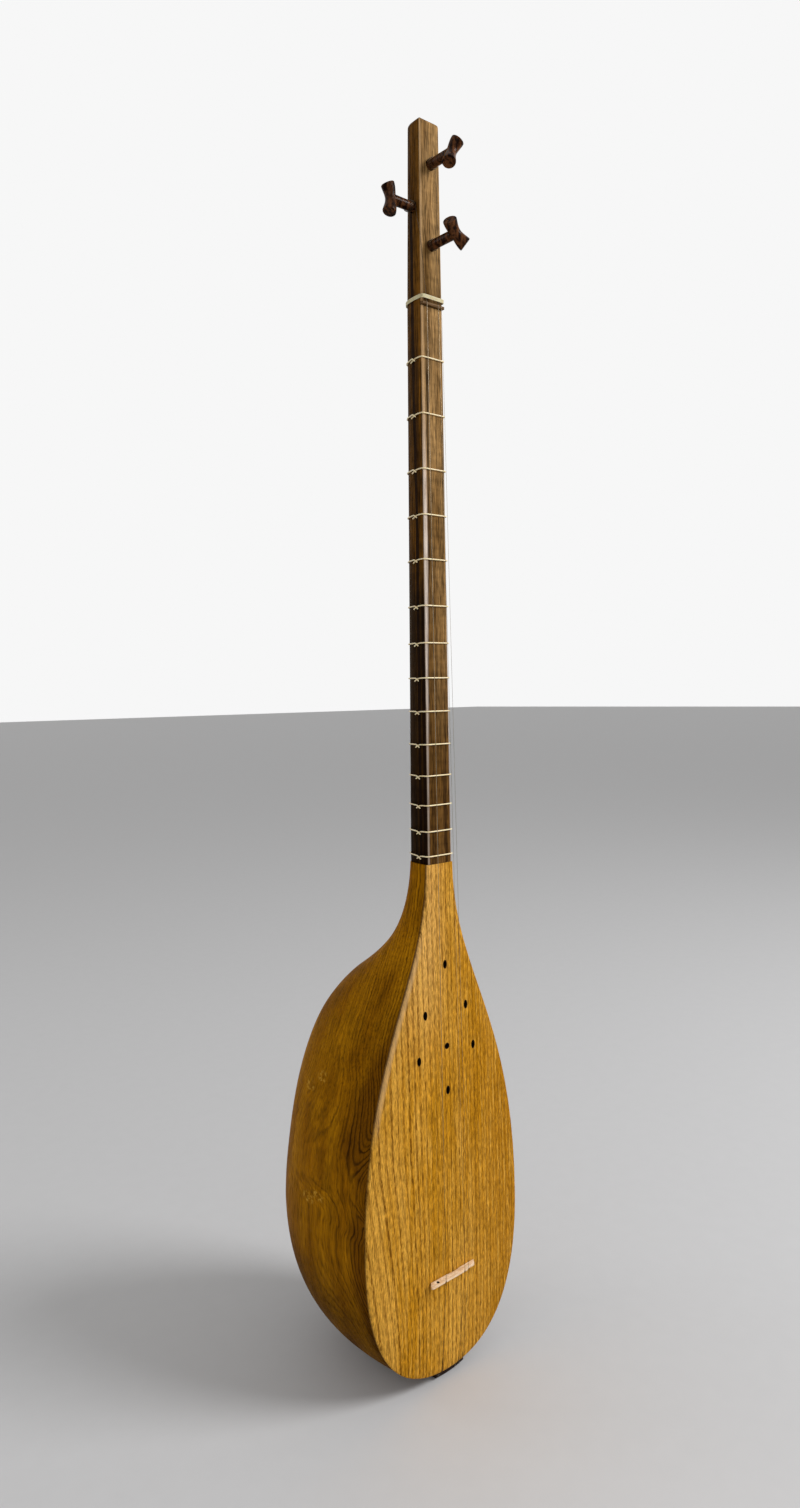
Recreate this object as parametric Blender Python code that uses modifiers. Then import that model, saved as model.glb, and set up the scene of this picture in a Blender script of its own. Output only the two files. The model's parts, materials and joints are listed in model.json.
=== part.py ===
"""A long-necked lute with three strings: carved bowl, domed soundboard, fourteen tied frets, three pegs."""

import math

import bmesh
import bpy
import numpy as np
from mathutils import Matrix, Vector

# Sizes are in metres. X runs across the soundboard, Y from the soundboard into the bowl, Z up the neck.
# The origin is on the centre line, on the flat lower face that the instrument stands on.

# Lengths along the instrument
FOOT_TO_BRIDGE = 0.0760
SCALE_LENGTH = 0.6600
LAST_FRET_ABOVE_JOINT = 0.0058
NUT_TO_HEAD_TOP = 0.1184
FOOT_BEHIND_BOARD = 0.0145

# Soundboard outline, one half
BOARD_HALF_WIDTH = 0.0708
BOARD_WIDEST_ABOVE_BRIDGE = 0.0330
BOARD_TAIL_BELOW_BRIDGE = 0.0701
BOARD_END_HALF_WIDTH = 0.0117
SHOULDER_REACH = 0.1390
THROAT_REACH = 0.0800
HIP_REACH = 0.0640
TAIL_REACH = 0.0490

# Soundboard
BOARD_THICKNESS = 0.0025
BOARD_RISE = 0.0025
BOARD_EDGE_EASE = 0.0010
SOUND_HOLE_HEIGHT = 0.0055
SOUND_HOLE_WIDTH = 0.0032
CENTRE_HOLE_DIAMETER = 0.0037
HOLES_RIGHT_OF_CENTRE = 0.0020
# Each hole's place right of the holes' middle line, and above the bridge
SOUND_HOLE_PLACES = (
    (0, 0.219), (0.019, 0.187), (-0.019, 0.187), (0.0255, 0.157), (-0.0255, 0.157), (0, 0.131),
)
CENTRE_HOLE_ABOVE_BRIDGE = 0.1620
STRING_NOTCH_DIAMETER = 0.0016

# Bowl
BOWL_DEPTH = 0.1460
BOWL_DEEPEST_ABOVE_BRIDGE = 0.0350
BOWL_WALL = 0.0050
BOWL_BULGE = 0.10
BOWL_TAIL_BULGE = 0.20
BOWL_SIDE_FULLNESS = 0.72
BOWL_BACK_FULLNESS = 0.75
BULGE_FADE = 0.0900
HEEL_BLOCK_LENGTH = 0.0420
# Shares of the way from the deepest place to the neck joint, each with its share of the fall in depth
SPINE_FALL = (
    (0.0, 0.0), (0.14, 0.041), (0.335, 0.108), (0.51, 0.232),
    (0.65, 0.48), (0.73, 0.728), (0.807, 0.893), (0.893, 0.967), (1.0, 1.0),
)

# Neck and head
NECK_JOINT_HALF_WIDTH = 0.0113
NECK_JOINT_DEPTH = 0.0252
NECK_JOINT_CORNER = 0.0020
NECK_NUT_HALF_WIDTH = 0.0093
NECK_NUT_DEPTH = 0.0202
NECK_NUT_CORNER = 0.0009
HEAD_TOP_HALF_WIDTH = 0.0086
HEAD_TOP_DEPTH = 0.0150
NECK_FULLNESS = 0.72
HEAD_FULLNESS = 0.90
HEAD_TOP_EASE = 0.0030
TENON_WIDTH = 0.0110
TENON_DEPTH = 0.0120
TENON_LENGTH = 0.0300
TENON_BEHIND_BOARD = 0.0070

# Frets: each is tied at its own number of cents above the open string
FRET_CENTS = (93, 196, 305, 401, 501, 612, 707, 802, 898, 999, 1101, 1203, 1299, 1395)
CENTS_PER_OCTAVE = 1200
FRET_THICKNESS = 0.0009
KNOT_BEHIND_FRONT = 0.0075
KNOT_TAIL_DROP = 0.0020
KNOT_TAIL_SPREAD = 0.0019
# Both ends of a fret at the knot, as shares: along from the knot, out over the other end, down
FRET_START = ((-1.5, 0.3, 1.0), (-0.5, 0.1, 0.5), (0.5, 0.0, 0.0))
FRET_END = ((-1.4, 0.3, 0.0), (-0.5, 1.0, 0.0), (0.3, 1.1, 0.2), (0.7, 1.0, 0.6), (1.0, 0.7, 1.0))

# Nut and the gut bound over the strings above it
NUT_THICKNESS = 0.0020
NUT_HEIGHT = 0.0017
NUT_SLOT_DEPTH = 0.0010
NUT_OVERHANG = 0.0007
NUT_EDGE_EASE = 0.0003
BINDING_THICKNESS = 0.0008
BINDING_TURNS = 3
BINDING_ABOVE_NUT = 0.0029

# Bridge
BRIDGE_FOOT_LEFT = 0.0175
BRIDGE_FOOT_RIGHT = 0.0236
BRIDGE_CREST_LEFT = 0.0199
BRIDGE_CREST_RIGHT = 0.0209
BRIDGE_HEIGHT = 0.0048
BRIDGE_END_STEP = 0.0013
BRIDGE_FOOT_THICKNESS = 0.0026
BRIDGE_TOP_THICKNESS = 0.0012
BRIDGE_NOTCH_DEPTH = 0.0009
BRIDGE_ARCH_HALF_WIDTH = 0.0061
BRIDGE_ARCH_HEIGHT = 0.0006
BRIDGE_ARCH_RIGHT_OF_CENTRE = 0.0033
BRIDGE_SLANT = 0.0300
# The crest's left end, as shares of the height: in from the end, up from the foot
BRIDGE_ROUNDED_END = ((0.3, 1.0), (0.0, 0.85), (0.0, 0.6))
BRIDGE_HOLE_DIAMETER = 0.0018
BRIDGE_HOLE_LEFT_OF_CENTRE = 0.0129

# Tailpiece and its pins
TAILPIECE_LENGTH = 0.0270
TAILPIECE_RIGHT_OF_CENTRE = 0.0045
TAILPIECE_BEHIND_BOARD = 0.0034
TAILPIECE_DEPTH = 0.0156
TAILPIECE_LIP = 0.0050
TAILPIECE_CHAMFER = 0.0066
TAILPIECE_TOP = 0.0110
PIN_DIAMETER = 0.0016
PIN_LENGTH = 0.0080
PIN_BEHIND_BOARD = 0.0018
PIN_ABOVE_FOOT = 0.0040

# Strings, from the player's bass side: diameter and place across the tail, the bridge and the nut
STRINGS = (
    {"diameter": 0.00032, "tail": -0.0062, "bridge": -0.0075, "nut": -0.0060, "peg": 2},
    {"diameter": 0.00020, "tail": 0.0096, "bridge": 0.0105, "nut": 0.0042, "peg": 3},
    {"diameter": 0.00020, "tail": 0.0134, "bridge": 0.0140, "nut": 0.0070, "peg": 1},
)
STRING_FROM_HEAD = 0.0011
STRING_UNDER_BINDING = 0.0010
STRING_BEFORE_EDGE = 0.0007
PIN_LOOP_TURN = 1.40 * math.pi
# The first string's way round the head's edge: out from the side, behind the front, below the side peg
SIDE_PEG_APPROACH = ((0.0, -0.0005, 0.0200), (0.0002, 0.0010, 0.0130))

# Pegs, numbered from the top of the head: place, height above the nut and crossbar direction
PEGS = (
    {"side": "front", "across": 0.0005, "above_nut": 0.0898, "reach": 0.0204, "bar": (0.450, 0.893)},
    {"side": "left", "across": 0.0072, "above_nut": 0.0629, "reach": 0.0190, "bar": (0.070, 0.998)},
    {"side": "front", "across": 0.0003, "above_nut": 0.0383, "reach": 0.0234, "bar": (-0.754, 0.657)},
)
PEG_BAR_LENGTH = 0.0176
PEG_BAR_DIAMETER = 0.0091
PEG_BAR_BOW = 0.0017
PEG_WAIST_DIAMETER = 0.0070
PEG_END_EASE = 0.0004
PEG_SHAFT_DIAMETER = 0.0066
PEG_TIP_DIAMETER = 0.0060
PEG_TIP_PROUD = 0.0010
WINDING_TURNS = 4

# Clearances
GAP = 0.0003
COIL_GAP = 0.00045
CUT_MARGIN = 0.0010

# Share of an edge's ease at its middle ring
EASE_MIDDLE = 0.3

# Mesh steps
OUTLINE_STEPS = 20
SECTION_STEPS = 10
BOARD_COLUMNS = 8
NECK_QUARTER_STEPS = 6
CORNER_STEPS = 3
STATION_STEPS = 8
LOOP_STEPS = 16
PEG_SIDES = 20
PEG_BAR_STEPS = 12
TAILPIECE_STEPS = 8
PIN_SIDES = 12
ARCH_STEPS = 8
PIN_LOOP_STEPS = 8
GAP_SPOTS = 4
HOLE_SIDES = 16
SMOOTH_ANGLE = math.radians(35)

bridge_z = FOOT_TO_BRIDGE
nut_z = bridge_z + SCALE_LENGTH


def fret_z(number):
    """Height at which a fret cuts the strings to its own pitch."""
    return bridge_z + SCALE_LENGTH * 2 ** (-FRET_CENTS[number - 1] / CENTS_PER_OCTAVE)


joint_z = fret_z(len(FRET_CENTS)) - LAST_FRET_ABOVE_JOINT
head_top_z = nut_z + NUT_TO_HEAD_TOP
tail_z = bridge_z - BOARD_TAIL_BELOW_BRIDGE
widest_z = bridge_z + BOARD_WIDEST_ABOVE_BRIDGE
deepest_z = bridge_z + BOWL_DEEPEST_ABOVE_BRIDGE
board_y = -FOOT_BEHIND_BOARD
rim_y = board_y + BOARD_THICKNESS + GAP
tailpiece_front_y = board_y + TAILPIECE_BEHIND_BOARD
pin_front_y = board_y + PIN_BEHIND_BOARD


def clear_scene():
    for thing in list(bpy.data.objects):
        bpy.data.objects.remove(thing, do_unlink=True)


def new_collection(name, helpers=False):
    made = bpy.data.collections.new(name)
    bpy.context.scene.collection.children.link(made)
    made.hide_render = helpers
    return made


def new_material(name, colour, roughness, metallic=0.0):
    made = bpy.data.materials.new(name)
    made.use_nodes = True
    shader = made.node_tree.nodes["Principled BSDF"]
    shader.inputs["Base Color"].default_value = (*colour, 1.0)
    shader.inputs["Roughness"].default_value = roughness
    shader.inputs["Metallic"].default_value = metallic
    made.diffuse_color = (*colour, 1.0)
    return made


def shade(mesh):
    mesh.shade_smooth()
    mesh.set_sharp_from_angle(angle=SMOOTH_ANGLE)


def add_mesh(name, body, collection, material=None):
    """Turns a bmesh into an object, with its normals out and its double points merged."""
    bmesh.ops.remove_doubles(body, verts=body.verts, dist=1e-6)
    bmesh.ops.recalc_face_normals(body, faces=body.faces)
    mesh = bpy.data.meshes.new(name)
    body.to_mesh(mesh)
    body.free()
    shade(mesh)
    made = bpy.data.objects.new(name, mesh)
    collection.objects.link(made)
    if material:
        mesh.materials.append(material)
    if collection.hide_render:
        made.hide_render = True
        made.display_type = "WIRE"
    return made


def boolean(target, other, operation="DIFFERENCE"):
    modifier = target.modifiers.new(f"{operation.lower()} {other.name}", "BOOLEAN")
    modifier.operation = operation
    modifier.solver = "EXACT"
    modifier.object = other


def add_box(name, low, high, collection, material=None):
    body = bmesh.new()
    low, high = Vector(low), Vector(high)
    place = Matrix.Translation((low + high) / 2) @ Matrix.Diagonal((*(high - low), 1))
    bmesh.ops.create_cube(body, size=1.0, matrix=place)
    return add_mesh(name, body, collection, material)


def add_rod(name, start, end, diameter, sides, collection, end_diameter=None, material=None):
    """A straight rod or cone between two points."""
    start, end = Vector(start), Vector(end)
    turn = (end - start).to_track_quat("Z", "Y").to_matrix().to_4x4()
    body = bmesh.new()
    bmesh.ops.create_cone(
        body,
        cap_ends=True,
        segments=sides,
        radius1=diameter / 2,
        radius2=(end_diameter or diameter) / 2,
        depth=(end - start).length,
        matrix=Matrix.Translation((start + end) / 2) @ turn,
    )
    return add_mesh(name, body, collection, material)


def add_tube(name, points, diameter, material, collection):
    """One unbroken tube through the points."""
    curve = bpy.data.curves.new(name, "CURVE")
    curve.dimensions = "3D"
    curve.bevel_depth = diameter / 2
    curve.bevel_resolution = 1
    curve.use_fill_caps = True
    spline = curve.splines.new("POLY")
    spline.points.add(len(points) - 1)
    for target, point in zip(spline.points, points):
        target.co = (*point, 1.0)
    spline.use_smooth = True
    curve.materials.append(material)
    made = bpy.data.objects.new(name, curve)
    collection.objects.link(made)
    return made


def add_loft(name, rings, collection, material=None, cap_last=True):
    """A closed solid through rings of equal count, with a flat face over the first and the last one."""
    body = bmesh.new()
    rows = [[body.verts.new(point) for point in ring] for ring in rings]
    count = len(rings[0])
    for near, far in zip(rows, rows[1:]):
        for i in range(count):
            j = (i + 1) % count
            body.faces.new((near[i], near[j], far[j], far[i]))
    body.faces.new(rows[0])
    if cap_last:
        body.faces.new(rows[-1])
    return add_mesh(name, body, collection, material)


def bezier(points, steps, start=0.0, end=1.0):
    t = np.linspace(start, end, steps + 1)[:, None]
    a, b, c, d = (np.array(point, float) for point in points)
    return (1 - t) ** 3 * a + 3 * (1 - t) ** 2 * t * b + 3 * (1 - t) * t * t * c + t**3 * d


def smooth_step(value):
    value = min(max(value, 0.0), 1.0)
    return value * value * (3 - 2 * value)


def smooth_through(places, value):
    """A smooth curve through (place, height) pairs that never swings past them."""
    x, y = np.array(places, float).T
    step = np.diff(x)
    slope = np.diff(y) / step
    tangent = np.zeros(len(x))
    both = slope[:-1] * slope[1:] > 0
    tangent[1:-1][both] = 2 * slope[:-1][both] * slope[1:][both] / (slope[:-1][both] + slope[1:][both])
    i = int(np.clip(np.searchsorted(x, value) - 1, 0, len(step) - 1))
    t = (value - x[i]) / step[i]
    return (
        (1 + 2 * t) * (1 - t) ** 2 * y[i]
        + t * (1 - t) ** 2 * step[i] * tangent[i]
        + t * t * (3 - 2 * t) * y[i + 1]
        + t * t * (t - 1) * step[i] * tangent[i + 1]
    )


def half_outline(top_z=joint_z, inset=0.0):
    """Right half of the soundboard outline from top_z down to the tail, drawn in by inset."""
    upper = (
        (BOARD_END_HALF_WIDTH, joint_z),
        (BOARD_END_HALF_WIDTH, joint_z - THROAT_REACH),
        (BOARD_HALF_WIDTH, widest_z + SHOULDER_REACH),
        (BOARD_HALF_WIDTH, widest_z),
    )
    lower = (
        (BOARD_HALF_WIDTH, widest_z),
        (BOARD_HALF_WIDTH, widest_z - HIP_REACH),
        (TAIL_REACH, tail_z),
        (0.0, tail_z),
    )
    dense = bezier(upper, 400)
    start = np.interp(-top_z, -dense[:, 1], np.linspace(0, 1, len(dense)))
    points = np.concatenate([bezier(upper, OUTLINE_STEPS, start)[:-1], bezier(lower, OUTLINE_STEPS)])
    along = np.gradient(points, axis=0)
    along[-1] = (-1.0, 0.0)
    if top_z == joint_z:
        along[0] = (0.0, -1.0)
    along /= np.linalg.norm(along, axis=1)[:, None]
    inward = np.column_stack([along[:, 1], -along[:, 0]])
    points = points + inset * inward
    points[0, 1] = top_z
    points[-1, 0] = 0.0
    return points


def board_rise(x, half_width):
    """How far the soundboard's dome stands before its flat rim."""
    if half_width <= abs(x):
        return 0.0
    return BOARD_RISE * half_width / BOARD_HALF_WIDTH * (1 - (x / half_width) ** 2)


def outline_half_width(z):
    points = half_outline()
    return float(np.interp(-z, -points[:, 1], points[:, 0]))


def spine_depth(z):
    """Depth of the bowl behind the soundboard's face on its centre line."""
    share = (z - deepest_z) / (joint_z - deepest_z)
    return BOWL_DEPTH - (BOWL_DEPTH - NECK_JOINT_DEPTH) * smooth_through(SPINE_FALL, max(share, 0.0))


def bowl_loft(name, inset, top_z, collection, material=None, front_y=None):
    """The bowl's solid outer form, or the same form drawn in by inset."""
    right = half_outline(top_z, inset)
    rings = []
    for x, z in right:
        fade = smooth_step((joint_z - z) / BULGE_FADE)
        bulge = BOWL_BULGE * fade
        if z < deepest_z:
            low = math.atan2(deepest_z - z, max(x, 1e-9)) / (math.pi / 2)
            bulge += (BOWL_TAIL_BULGE - BOWL_BULGE) * low * low
        section = bezier(
            ((1, 0), (1 + bulge, BOWL_SIDE_FULLNESS), (BOWL_BACK_FULLNESS, 1), (0, 1)), SECTION_STEPS
        )
        depth = board_y + spine_depth(z) - inset - rim_y
        if z < deepest_z:
            ring = [(x * u, rim_y + depth * v, deepest_z + (z - deepest_z) * u) for u, v in section]
        else:
            ring = [(x * u, rim_y + depth * v, z) for u, v in section]
        if front_y is not None:
            ring.insert(0, (x, front_y, z))
        rings.append(ring)
    mirrored = [[(-x, y, z) for x, y, z in ring] for ring in rings[-2::-1]]
    body = bmesh.new()
    rows = [[body.verts.new(point) for point in ring] for ring in rings + mirrored]
    for near, far in zip(rows, rows[1:]):
        for i in range(len(near) - 1):
            body.faces.new((near[i], near[i + 1], far[i + 1], far[i]))
    body.faces.new([row[0] for row in rows])
    body.faces.new(rows[0] + rows[-1][-2::-1])
    return add_mesh(name, body, collection, material)


def make_bowl(parts, helpers, material):
    bowl = bowl_loft("bowl", 0.0, joint_z, parts, material)
    hollow = bowl_loft(
        "bowl_hollow", BOWL_WALL, joint_z - HEEL_BLOCK_LENGTH, helpers, front_y=rim_y - CUT_MARGIN
    )
    boolean(bowl, hollow)
    boolean(bowl, tenon_box("tenon_pocket", GAP, CUT_MARGIN, helpers))


def tenon_box(name, clearance, past_joint, collection):
    """The tenon at the neck's foot, or the pocket for it."""
    half = TENON_WIDTH / 2 + clearance
    front = board_y + TENON_BEHIND_BOARD - clearance
    back = board_y + TENON_BEHIND_BOARD + TENON_DEPTH + clearance
    foot = joint_z + GAP - TENON_LENGTH - clearance
    return add_box(name, (-half, front, foot), (half, back, joint_z + past_joint), collection)


def make_soundboard(parts, helpers, material):
    outer = half_outline()
    inner = half_outline(inset=BOARD_EDGE_EASE)
    middle = half_outline(inset=EASE_MIDDLE * BOARD_EDGE_EASE)
    columns = np.linspace(-1, 1, BOARD_COLUMNS + 1)
    rings = []
    for (wide, low), (near, high), (between, level) in zip(outer, inner, middle):
        front = [(near * t, board_y - board_rise(near * t, wide), high) for t in columns]
        back_y = board_y + BOARD_THICKNESS
        back = [(wide * t, back_y - board_rise(wide * t, wide), low) for t in columns[::-1]]
        right = [
            (between, board_y + EASE_MIDDLE * BOARD_EDGE_EASE, level),
            (wide, board_y + BOARD_EDGE_EASE, low),
        ]
        left = [(-x, y, z) for x, y, z in right[::-1]]
        rings.append(front + right + back + left)
    board = add_loft("soundboard", rings, parts, material, cap_last=False)
    middle_x = HOLES_RIGHT_OF_CENTRE
    narrow = SOUND_HOLE_WIDTH / SOUND_HOLE_HEIGHT
    cuts = [(middle_x + x, bridge_z + up, SOUND_HOLE_HEIGHT, narrow) for x, up in SOUND_HOLE_PLACES]
    cuts.append((middle_x, bridge_z + CENTRE_HOLE_ABOVE_BRIDGE, CENTRE_HOLE_DIAMETER, 1.0))
    cuts += [(string["tail"], tail_z, STRING_NOTCH_DIAMETER, 1.0) for string in STRINGS]
    for number, (x, z, diameter, share) in enumerate(cuts, 1):
        start = (0, board_y - BOARD_RISE - CUT_MARGIN, z)
        end = (0, rim_y + CUT_MARGIN, z)
        cutter = add_rod(f"board_cut_{number:02d}", start, end, diameter, HOLE_SIDES, helpers)
        cutter.data.transform(Matrix.Translation((x, 0, 0)) @ Matrix.Diagonal((share, 1, 1, 1)))
        boolean(board, cutter)


def neck_section(z):
    """Half width, depth, fullness of the back and radius of the front corners of the neck at a height."""
    if z < nut_z:
        share = (z - joint_z) / (nut_z - joint_z)
        ends = (
            (NECK_JOINT_HALF_WIDTH, NECK_NUT_HALF_WIDTH),
            (NECK_JOINT_DEPTH, NECK_NUT_DEPTH),
            (NECK_FULLNESS, NECK_FULLNESS),
            (NECK_JOINT_CORNER, NECK_NUT_CORNER),
        )
    else:
        share = (z - nut_z) / (head_top_z - nut_z)
        ends = (
            (NECK_NUT_HALF_WIDTH, HEAD_TOP_HALF_WIDTH),
            (NECK_NUT_DEPTH, HEAD_TOP_DEPTH),
            (NECK_FULLNESS, HEAD_FULLNESS),
            (NECK_NUT_CORNER, NECK_NUT_CORNER),
        )
    return [first + (last - first) * share for first, last in ends]


def neck_corner(half, corner, offset=0.0):
    """The right front corner, from the front face to the side, without its last point."""
    radius = corner + offset
    return [
        (half - corner + radius * math.sin(angle), corner - radius * math.cos(angle))
        for angle in np.linspace(0, math.pi / 2, CORNER_STEPS + 1)[:-1]
    ]


def neck_ring(z, drawn_in=0.0):
    half, depth, fullness, corner = neck_section(z)
    half -= drawn_in
    back = depth - drawn_in
    side = bezier(
        ((half, corner), (half, back * fullness), (half * fullness, back), (0, back)), NECK_QUARTER_STEPS
    )
    right = neck_corner(half, corner) + [tuple(point) for point in side]
    ring = right + [(-x, y) for x, y in right[-2::-1]]
    return [(x, board_y + max(y, drawn_in), z) for x, y in ring]


def make_neck(parts, helpers, material, peg_frames):
    foot = joint_z + GAP
    heights = [foot, *np.linspace(foot, nut_z, 5)[1:], (nut_z + head_top_z) / 2, head_top_z - HEAD_TOP_EASE]
    rings = [neck_ring(z) for z in heights]
    for angle in np.linspace(0, math.pi / 2, CORNER_STEPS + 1)[1:]:
        up, drawn_in = HEAD_TOP_EASE * math.sin(angle), HEAD_TOP_EASE * (1 - math.cos(angle))
        rings.append(neck_ring(head_top_z - HEAD_TOP_EASE + up, drawn_in))
    neck = add_loft("neck", rings, parts, material)
    boolean(neck, tenon_box("tenon", 0.0, CUT_MARGIN, helpers), "UNION")
    boolean(neck, nut_box("nut_slot", GAP, helpers))
    for number, frame in enumerate(peg_frames, 1):
        boolean(neck, peg_shaft(f"peg_hole_{number}", frame, 2 * GAP, CUT_MARGIN, helpers))


def nut_box(name, clearance, collection, material=None):
    """The nut, or the slot across the neck that it stands in."""
    half = NECK_NUT_HALF_WIDTH
    left = -half - clearance - (CUT_MARGIN if clearance else 0)
    low = (left, board_y - NUT_HEIGHT, nut_z - NUT_THICKNESS / 2 - clearance)
    right = half + NUT_OVERHANG + clearance
    high = (right, board_y + NUT_SLOT_DEPTH + clearance, nut_z + NUT_THICKNESS / 2 + clearance)
    return add_box(name, low, high, collection, material)


def make_nut(parts, material):
    nut = nut_box("nut", 0.0, parts, material)
    bevel = nut.modifiers.new("eased edges", "BEVEL")
    bevel.width = NUT_EDGE_EASE
    bevel.segments = 2


def neck_stations(z, offset):
    """The way round the neck at an offset from its surface, from the left side over the front."""
    half, depth, fullness, corner = neck_section(z)
    steps = STATION_STEPS * NECK_QUARTER_STEPS
    side = bezier(((half, corner), (half, depth * fullness), (half * fullness, depth), (0, depth)), steps)
    along = np.gradient(side, axis=0)
    along[0] = (0, 1)
    along[-1] = (-1, 0)
    along /= np.linalg.norm(along, axis=1)[:, None]
    right = (side + offset * np.column_stack([along[:, 1], -along[:, 0]]))[::STATION_STEPS]
    left = right * (-1, 1)
    turn = neck_corner(half, corner, offset)
    front = [(-x, y) for x, y in turn[::-1]] + [(0, -offset)] + turn
    return [*left[2::-1], *front, *right, *left[-2:2:-1]]


def around_neck(z, station, offset):
    """A point on the way round the neck; station 0 is on the left side and the way runs over the front."""
    loop = np.array(neck_stations(z, offset), float)
    first = math.floor(station)
    share = station - first
    x, y = loop[first % len(loop)] * (1 - share) + loop[(first + 1) % len(loop)] * share
    return float(x), board_y + float(y), z


def least_gap(points, diameter, skip):
    """Least clear distance between stretches of one tube that lie more than skip points apart."""
    spots = np.linspace(0, len(points) - 1, GAP_SPOTS * (len(points) - 1) + 1)
    dense = np.column_stack([np.interp(spots, range(len(points)), axis) for axis in np.transpose(points)])
    reach = GAP_SPOTS * skip
    far = [np.linalg.norm(dense[i + reach :] - dense[i], axis=1).min() for i in range(len(dense) - reach)]
    return min(far) - diameter


def side_station(z, behind, offset):
    """The station on the left side that lies a given way behind the front face."""
    ways = [y for _, y in neck_stations(z, offset)[:3]]
    return float(np.interp(-behind, [-way for way in ways], range(3)))


def make_fret(number, parts, material):
    """A loop of gut round the neck whose end crosses over its start, with two short tails."""
    z = fret_z(number)
    snug = GAP + FRET_THICKNESS / 2
    over = FRET_THICKNESS + COIL_GAP
    last = len(neck_stations(z, snug))
    knot = side_station(z, KNOT_BEHIND_FRONT, snug)
    spread = knot - side_station(z, KNOT_BEHIND_FRONT + KNOT_TAIL_SPREAD, snug)
    start = [(knot + along * spread, out * over, down * KNOT_TAIL_DROP) for along, out, down in FRET_START]
    round_again = last + knot
    end = [(round_again + along * spread, out * over, down * KNOT_TAIL_DROP) for along, out, down in FRET_END]
    between = range(math.ceil(start[-1][0]), math.floor(end[0][0]) + 1)
    route = [*start, *((station, 0.0, 0.0) for station in between), *end]
    points = []
    for station, out, down in route:
        x, y, _ = around_neck(z, station, snug + out)
        points.append((x, y, z - down))
    add_tube(f"fret_{number:02d}", points, FRET_THICKNESS, material, parts)
    return least_gap(points, FRET_THICKNESS, 4)


def make_binding(parts, material):
    """Turns of thin gut that hold the strings down just above the nut."""
    snug = GAP + BINDING_THICKNESS / 2
    bass = max(string["diameter"] for string in STRINGS)
    front = STRING_UNDER_BINDING + bass / 2 + snug
    pitch = BINDING_THICKNESS + COIL_GAP
    stations = len(neck_stations(nut_z, snug))
    points = []
    for i in range(BINDING_TURNS * stations + 1):
        z = nut_z + BINDING_ABOVE_NUT + pitch * i / stations
        x, y, _ = around_neck(z, i, snug)
        half = neck_section(z)[0]
        if y < board_y:
            y = board_y - front
            x = max(-half - snug / 2, min(half + snug / 2, x))
        points.append((x, y, z))
    add_tube("nut_binding", points, BINDING_THICKNESS, material, parts)
    return least_gap(points, BINDING_THICKNESS, 6)


def bridge_place(x):
    """Height of the bridge's middle line, which rises a little to the right."""
    return bridge_z + BRIDGE_SLANT * x


def make_bridge(parts, helpers, material):
    """A low bridge with slanting ends: its foot reaches further right and its crest further left."""
    width = outline_half_width(bridge_z)
    foot_y = board_y - board_rise(0.0, width) - GAP
    arch = []
    for angle in np.linspace(0, math.pi, ARCH_STEPS + 1):
        across = BRIDGE_ARCH_RIGHT_OF_CENTRE + BRIDGE_ARCH_HALF_WIDTH * math.cos(angle)
        arch.append((across, BRIDGE_ARCH_HEIGHT * math.sin(angle)))
    places = sorted((string["bridge"] for string in STRINGS), reverse=True)
    end_height = BRIDGE_HEIGHT - BRIDGE_END_STEP
    top = [(BRIDGE_CREST_RIGHT, end_height), (places[0] + BRIDGE_NOTCH_DEPTH, end_height)]
    for place in places:
        top += [(place, BRIDGE_HEIGHT - BRIDGE_NOTCH_DEPTH), (place - BRIDGE_NOTCH_DEPTH, BRIDGE_HEIGHT)]
        if place != places[-1]:
            top.append((places[places.index(place) + 1] + BRIDGE_NOTCH_DEPTH, BRIDGE_HEIGHT))
    shape = [(BRIDGE_FOOT_RIGHT, 0), *top]
    for into, up in BRIDGE_ROUNDED_END:
        shape.append((into * BRIDGE_HEIGHT - BRIDGE_CREST_LEFT, up * BRIDGE_HEIGHT))
    shape += [(-BRIDGE_FOOT_LEFT, 0), *arch[::-1]]
    thinning = BRIDGE_FOOT_THICKNESS - BRIDGE_TOP_THICKNESS
    rings = []
    for side in (-0.5, 0.5):
        ring = []
        for x, up in shape:
            thick = BRIDGE_FOOT_THICKNESS - thinning * up / BRIDGE_HEIGHT
            ring.append((x, foot_y - up, bridge_place(x) + side * thick))
        rings.append(ring)
    bridge = add_loft("bridge", rings, parts, material)
    hole_y = foot_y - BRIDGE_HEIGHT / 2
    hole_z = bridge_place(-BRIDGE_HOLE_LEFT_OF_CENTRE)
    low = (-BRIDGE_HOLE_LEFT_OF_CENTRE, hole_y, hole_z - BRIDGE_FOOT_THICKNESS)
    high = (-BRIDGE_HOLE_LEFT_OF_CENTRE, hole_y, hole_z + BRIDGE_FOOT_THICKNESS)
    boolean(bridge, add_rod("bridge_hole", low, high, BRIDGE_HOLE_DIAMETER, PIN_SIDES, helpers))
    return foot_y - BRIDGE_HEIGHT


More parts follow.
